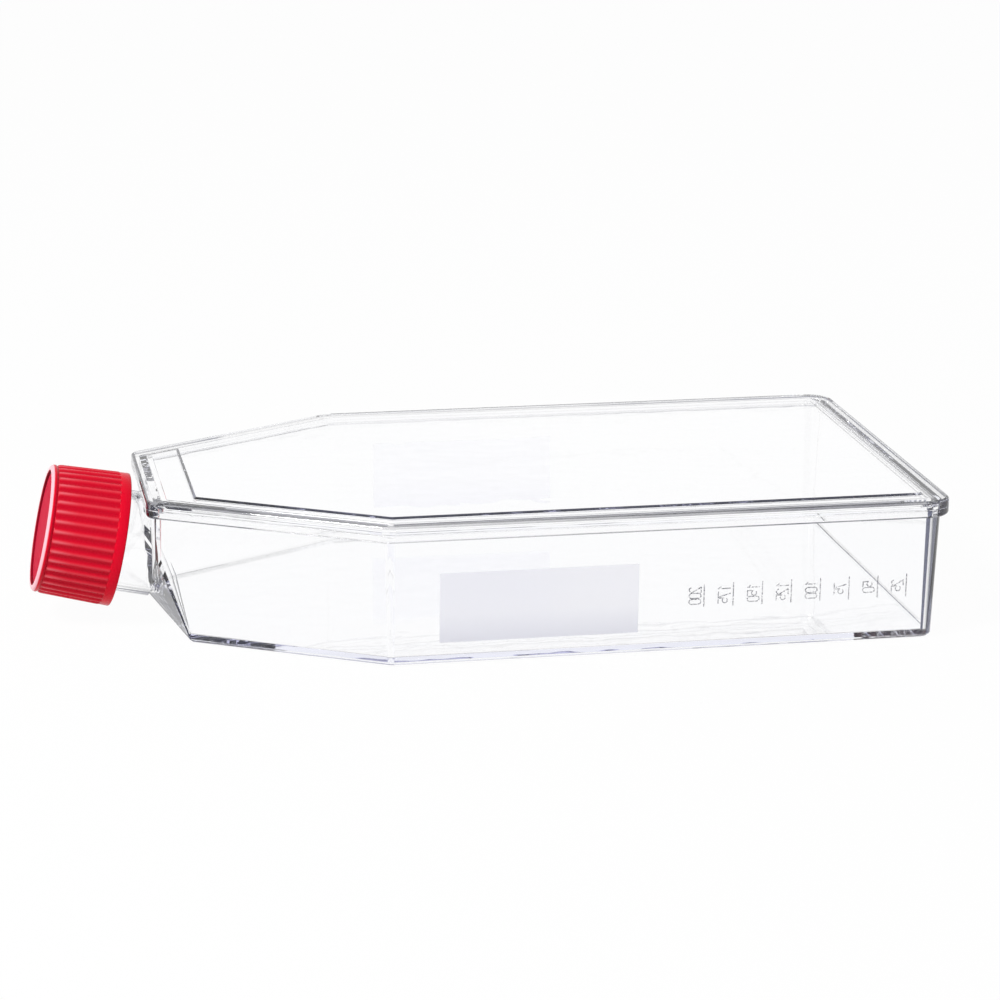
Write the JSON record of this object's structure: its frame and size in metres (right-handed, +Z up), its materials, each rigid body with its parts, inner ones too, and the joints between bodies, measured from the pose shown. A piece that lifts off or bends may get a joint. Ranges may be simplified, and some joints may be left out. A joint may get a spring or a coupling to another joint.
{
  "type": "cell culture flask",
  "caption": "Clear flat-sided cell culture flask with slanted shoulders, a canted neck, a red ribbed screw cap, frosted writing areas and printed graduations.",
  "frame": {"origin": "on the underside of the base, on the flask's middle plane, half way along the top flange", "axes": "+X towards the closed end and away from the neck, +Y across the flask, +Z up through the top plate"},
  "size_m": [0.2257, 0.115, 0.0397],
  "materials": {
    "clear_plastic": "polished clear polystyrene",
    "cap_plastic": "satin moulded, opaque red",
    "liner": "smooth foam",
    "frosted_print": "frosted, takes a marker",
    "scale_ink": "thin printed ink"
  },
  "bodies": {
    "flask": {"flask_tray": "clear_plastic", "top_plate": "clear_plastic", "front_writing_area": "frosted_print", "back_writing_area": "frosted_print", "graduations": "scale_ink"},
    "liner": {"cap_liner": "liner"},
    "cap": {"screw_cap": "cap_plastic"}
  },
  "joints": [
    {"name": "cap_lift", "type": "slide", "parent": "flask", "child": "liner", "axis": [-0.9781, 0, 0.2079], "range_m": [0, 0.00901]},
    {"name": "cap_turn", "type": "hinge", "parent": "liner", "child": "cap", "pos_m": [-0.09675, 0, 0.01821], "axis": [-0.9781, 0, 0.2079], "range_deg": [0, 810]}
  ],
  "couplings": [
    {"joint": "cap_lift", "follows": "cap_turn", "m_per_rad": 0.00063662}
  ]
}
